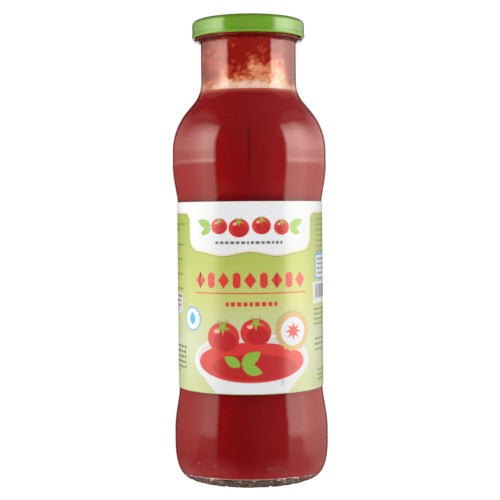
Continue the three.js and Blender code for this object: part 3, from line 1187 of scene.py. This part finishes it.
def seal_print():
    """A scalloped seal with a star, and a round badge with a drop."""
    seal = (21.5, 29.6)
    scallops = [9.4 + 0.35 * cos(radians(18 * k)) for k in range(0, 360, 2)]
    badge = (-32.0, 35.4)
    return [
        ("seal_gold", [round_outline(*seal, scallops)], 10, "gold"),
        ("seal_white", [oval(*seal, 6.9, 6.9)], 11, "white"),
        ("seal_star", [star(*seal, 4.4, 2.0, 8)], 12, "red"),
        ("badge_blue", [oval(*badge, 5.9, 5.9)], 1, "blue"),
        ("badge_white", [oval(*badge, 5.2, 5.2)], 2, "white"),
        ("badge_drop", [leaf(badge[0], badge[1] - 3.0, 6.4, 4.0, 90)], 3, "blue"),
    ]


def box_print():
    """A framed box of small bars, and a field of upright stripes under it."""
    rng = random.Random(3)
    stripes = []
    x = 38.0
    while x < 59.0:
        width = rng.choice((0.3, 0.45, 0.7))
        stripes.append(box(x, x + width, 44.6, 51.4))
        x += width + rng.choice((0.35, 0.5, 0.7))
    return [
        ("box_blue", [rounded_box(38.2, 60.5, 53.6, 66.4, 1.4)], 1, "blue"),
        ("box_white", [rounded_box(39.2, 59.5, 54.6, 65.4, 0.8)], 2, "white"),
        ("box_lines", small_print(40.6, 58.2, 63.0, 4, 2.3, 1.1, 40), 3, "grey"),
        ("stripe_field", [rounded_box(36.0, 61.0, 42.0, 52.4, 0.5)], 1, "white"),
        ("stripes", stripes, 2, "grey"),
    ]


def side_print():
    """Lines of small bars at both sides, and a pale field of them on the left."""
    blocks = [
        (39, 60, 82.5, 7, 2.6, 1.0, 60),
        (37, 60, 38.6, 4, 2.4, 1.0, 70),
        (38, 58, 24.0, 3, 2.6, 1.1, 80),
        (41, 60, 8.6, 3, 2.3, 1.0, 90),
        (-60, -37.5, 80.5, 2, 2.6, 1.1, 100),
    ]
    for k in range(4):
        blocks.append((-60, -39.5 - k * 0.6, 70.5 - 7.2 * k, 2, 2.4, 1.0, 110 + 10 * k))
    blocks.append((-60, -38.0, 20.5, 6, 2.5, 1.1, 160))
    bars = [bar for block in blocks for bar in small_print(*block)]
    return [
        ("small_bars", bars, 1, "dark_green"),
        ("side_field", [rounded_box(-60, -41.5, 37.5, 47.5, 0.6)], 1, "pale_grey"),
        ("side_lines", small_print(-58.5, -43, 45.2, 4, 2.3, 1.0, 200), 2, "grey"),
    ]


def back_print():
    """An empty table and lines of small bars on the back."""
    rules = [box(68, 98, y, y + 0.35) for y in range(20, 60, 5)]
    rules.append(box(88, 88.35, 20, 55))
    bars = small_print(66, 100, 78, 5, 2.8, 1.1, 300) + small_print(-100, -66, 78, 16, 3.6, 1.2, 330)
    return [
        ("table_field", [rounded_box(66, 100, 16, 62, 1.0)], 1, "white"),
        ("table_rules", rules, 2, "grey"),
        ("back_bars", bars, 1, "dark_green"),
    ]


def make_print():
    """The label's print: plain fields, a generic tomato design, a seal and lines of small bars.
    Each part is a list of names, outlines, ink layers and inks."""
    inks = {}
    for name, colour in INKS.items():
        gloss = WHITE_GLOSS if name == "white" else 1.0
        inks[name] = paper_finish(new_material("ink_" + name), (*colour, 1), gloss)
    parts = upper_print() + frieze_print() + bowl_print() + seal_print()
    parts += box_print() + side_print() + back_print()
    return [
        print_shapes("print_" + name, shapes, layer, inks[ink])
        for name, shapes, layer, ink in parts
    ]


# Studio


def hide_from(piece, *rays):
    """Keeps these kinds of rays from meeting a piece."""
    for ray in rays:
        setattr(piece, "visible_" + ray, False)


def make_floor():
    """A plain pale floor under the bottle, for the camera alone."""
    radius = FLOOR_RADIUS / MM
    vertices = [(x, y, 0) for x, y in oval(0, 0, radius, radius, FLOOR_SEGMENTS)]
    floor = make_object("floor", vertices, [tuple(range(FLOOR_SEGMENTS))], smooth=False)
    inputs = {
        "Base Color": (0.8, 0.8, 0.8, 1),
        "Roughness": 0.8,
        "Specular IOR Level": 0.1,
        "Emission Color": (1, 1, 1, 1),
        "Emission Strength": FLOOR_GLOW,
    }
    floor.data.materials.append(principled(new_material("pale_floor"), inputs))
    hide_from(floor, "glossy", "transmission", "diffuse")


def panel_material(name, side, peak, inner, full, fade, low):
    """Soft light that starts sharply at its inner edge and fades away outwards. Its lower part
    holds only the low share of its light. Angles are in degrees from the camera's side."""
    material = new_material(name)
    tree = material.node_tree
    x, y, z = place_parts(tree)
    across = maths(tree, "MULTIPLY", x, side)
    forward = maths(tree, "MULTIPLY", y, -1.0)
    angle = maths(tree, "DEGREES", maths(tree, "ARCTAN2", across, forward))
    edge = mapped(tree, angle, inner, inner + LIGHT_EDGE)
    beyond = maths(tree, "MAXIMUM", maths(tree, "SUBTRACT", angle, full), 0.0)
    fall = maths(tree, "EXPONENT", maths(tree, "DIVIDE", beyond, -fade))
    foot_end = mapped(tree, angle, *LIGHT_FOOT_TURN, LIGHT_FOOT_END, LIGHT_PANEL_LOW)
    foot = mapped(tree, z, foot_end, LIGHT_FOOT_FULL, 0.0, (1 - LIGHT_TRAIL_SHARE) * low)
    trail = mapped(tree, z, LIGHT_PANEL_LOW, LIGHT_TRAIL_FULL, 0.0, LIGHT_TRAIL_SHARE * low)
    upper = mapped(tree, z, *LIGHT_UPPER_START, 0.0, 1.0 - low)
    rise = maths(tree, "ADD", foot, trail, upper)
    slope = mapped(tree, angle, *LIGHT_TOP_TURN, 0.0, LIGHT_TOP_SLOPE)
    top = mapped(tree, maths(tree, "ADD", z, slope), *LIGHT_TOP_FADE, 1.0, 0.0)
    strength = maths(tree, "MULTIPLY", edge, fall, peak, rise, top)
    light = add_node(tree, "Emission", {"Color": LIGHT_COLOUR, "Strength": strength})
    behind = add_node(tree, "BsdfTransparent", {"Color": (1, 1, 1, 1)})
    both = {0: light.outputs[0], 1: behind.outputs[0]}
    return surfaced(material, add_node(tree, "AddShader", both))


def make_light_panels():
    """Two tall curved soft lights, one each side of the camera."""
    for name, side, peak, inner, full, fade, low in (
        ("light_panel_left", -1, 5.6, 48.0, 70.0, 30.0, 0.33),
        ("light_panel_right", 1, 6.2, 52.0, 84.0, 32.0, 0.48),
    ):
        vertices = []
        for k in range(LIGHT_PANEL_STEPS + 1):
            angle = inner + (LIGHT_PANEL_END - inner) * k / LIGHT_PANEL_STEPS
            for height in (LIGHT_PANEL_LOW, LIGHT_PANEL_HIGH):
                reach = LIGHT_PANEL_DISTANCE / MM
                vertices.append(from_axis(radians(angle) * side, reach, height / MM))
        faces = [(2 * k, 2 * k + 1, 2 * k + 3, 2 * k + 2) for k in range(LIGHT_PANEL_STEPS)]
        panel = make_object(name, vertices, faces)
        panel.data.materials.append(panel_material(name, side, peak, inner, full, fade, low))
        hide_from(panel, "camera", "shadow", "diffuse")


def make_lamp(name, shape, width, height, power, place):
    """A soft lamp aimed at the bottle, which neither gloss nor glass shows."""
    light = bpy.data.lights.new(name, "AREA")
    light.shape = shape
    light.size = width
    light.size_y = height
    light.energy = power
    lamp = bpy.data.objects.new(name, light)
    bpy.context.scene.collection.objects.link(lamp)
    lamp.location = place
    aim = Vector((0, 0, LAMP_AIM_HEIGHT)) - lamp.location
    lamp.rotation_euler = aim.to_track_quat("-Z", "Y").to_euler()
    hide_from(lamp, "glossy", "transmission", "camera")
    return lamp


def both_sides(depth, height):
    """The same place to the left and to the right of the bottle."""
    return [(-LAMP_SIDE_REACH, depth, height), (LAMP_SIDE_REACH, depth, height)]


def make_linked_lamps(name, power, places, pieces):
    """Soft lamps that shine on some of the pieces alone."""
    lit = bpy.data.collections.new(name)
    for piece in pieces:
        lit.objects.link(piece)
    for place in places:
        lamp = make_lamp(name, "RECTANGLE", LAMP_WIDTH, LAMP_HEIGHT, power, place)
        lamp.light_linking.receiver_collection = lit


def make_world():
    """White behind everything that is looked at, a dim room for what the gloss shows, and light
    from below for matt surfaces."""
    world = bpy.data.worlds.new("studio")
    bpy.context.scene.world = world
    world.use_nodes = True
    tree = world.node_tree
    tree.nodes.clear()
    path = add_node(tree, "LightPath").outputs
    x, y, z = place_parts(tree, "Generated")
    off_side = maths(tree, "ABSOLUTE", x)
    front = mapped(tree, x, -0.2, 0.45, 0.035, 0.13)
    rear = mapped(tree, y, 0.94, 0.98, 0.0, 0.9)
    overhead = mapped(tree, off_side, 0.56, 0.68, 0.06, 0.6)
    above = maths(tree, "MULTIPLY", mapped(tree, z, 0.3, 1.0), overhead)
    beside = mapped(tree, off_side, 0.25, 0.7, 0.0, 0.4)
    below = maths(tree, "MULTIPLY", mapped(tree, z, -0.25, -0.5), beside)
    under = mapped(tree, z, -0.92, -0.98, 0.0, 0.25)
    uplight = mapped(tree, z, -0.5, -0.75, 0.0, UPLIGHT)
    uplight = maths(tree, "MULTIPLY", uplight, path["Is Diffuse Ray"])
    room = maths(tree, "ADD", front, rear, above, below, under, uplight)
    level = mapped(tree, z, -0.45, -0.3)
    through = maths(tree, "MULTIPLY", path["Is Transmission Ray"], level)
    seen = maths(tree, "MAXIMUM", path["Is Camera Ray"], through)
    direct = maths(tree, "LESS_THAN", path["Diffuse Depth"], 0.5)
    seen = maths(tree, "MULTIPLY", seen, direct)
    strength = add_node(tree, "Mix", {0: seen, 2: room, 3: BACKDROP_LIGHT}).outputs[0]
    light = add_node(tree, "Background", {"Color": (1, 1, 1, 1), "Strength": strength})
    add_node(tree, "OutputWorld", {"Surface": light.outputs[0]})


def make_camera():
    camera = bpy.data.cameras.new("camera")
    camera.sensor_fit = "HORIZONTAL"
    camera.angle = CAMERA_WIDTH_ANGLE
    view = bpy.data.objects.new("camera", camera)
    bpy.context.scene.collection.objects.link(view)
    view.location = (0, -CAMERA_DISTANCE, CAMERA_HEIGHT)
    view.rotation_mode = "XYZ"
    forward = Vector((0, cos(CAMERA_PITCH), -sin(CAMERA_PITCH)))
    view.rotation_euler = forward.to_track_quat("-Z", "Y").to_euler()
    view.rotation_euler.rotate_axis("Z", CAMERA_ROLL)
    bpy.context.scene.camera = view


def set_render_look():
    scene = bpy.context.scene
    scene.view_settings.view_transform = "Standard"
    scene.view_settings.look = "None"
    scene.cycles.use_denoising = True
    scene.cycles.max_bounces = 24
    scene.cycles.transmission_bounces = 16
    scene.cycles.transparent_max_bounces = 24
    scene.cycles.caustics_reflective = False


make_camera()
make_world()
make_light_panels()
make_lamp("fill", "DISK", FILL_SIZE, FILL_SIZE, FILL_LIGHT, FILL_PLACE)
make_floor()
make_glass()
passata = make_passata()
coat = [make_neck_film(), make_neck_drops()]
cap = make_cap()
paper = [make_label()] + make_print()

make_linked_lamps("passata_sides", PASSATA_SIDE_LIGHT, both_sides(0.0, 0.06), [passata])
make_linked_lamps("passata_top", SHOULDER_LIGHT, [(0.0, -0.3, 0.85)], [passata])
make_linked_lamps("coat_front", COAT_FRONT_LIGHT, [(0.0, -0.88, 0.35)], coat)
make_linked_lamps("coat_sides", COAT_SIDE_LIGHT, both_sides(0.0, 0.12), coat)
make_linked_lamps("cap_sides", CAP_SIDE_LIGHT, both_sides(-0.12, 0.12), [cap])
label_left, label_right = both_sides(0.2, 0.12)
make_linked_lamps("paper_left", LABEL_LEFT_LIGHT, [label_left], paper)
make_linked_lamps("paper_right", LABEL_RIGHT_LIGHT, [label_right], paper)
set_render_look()
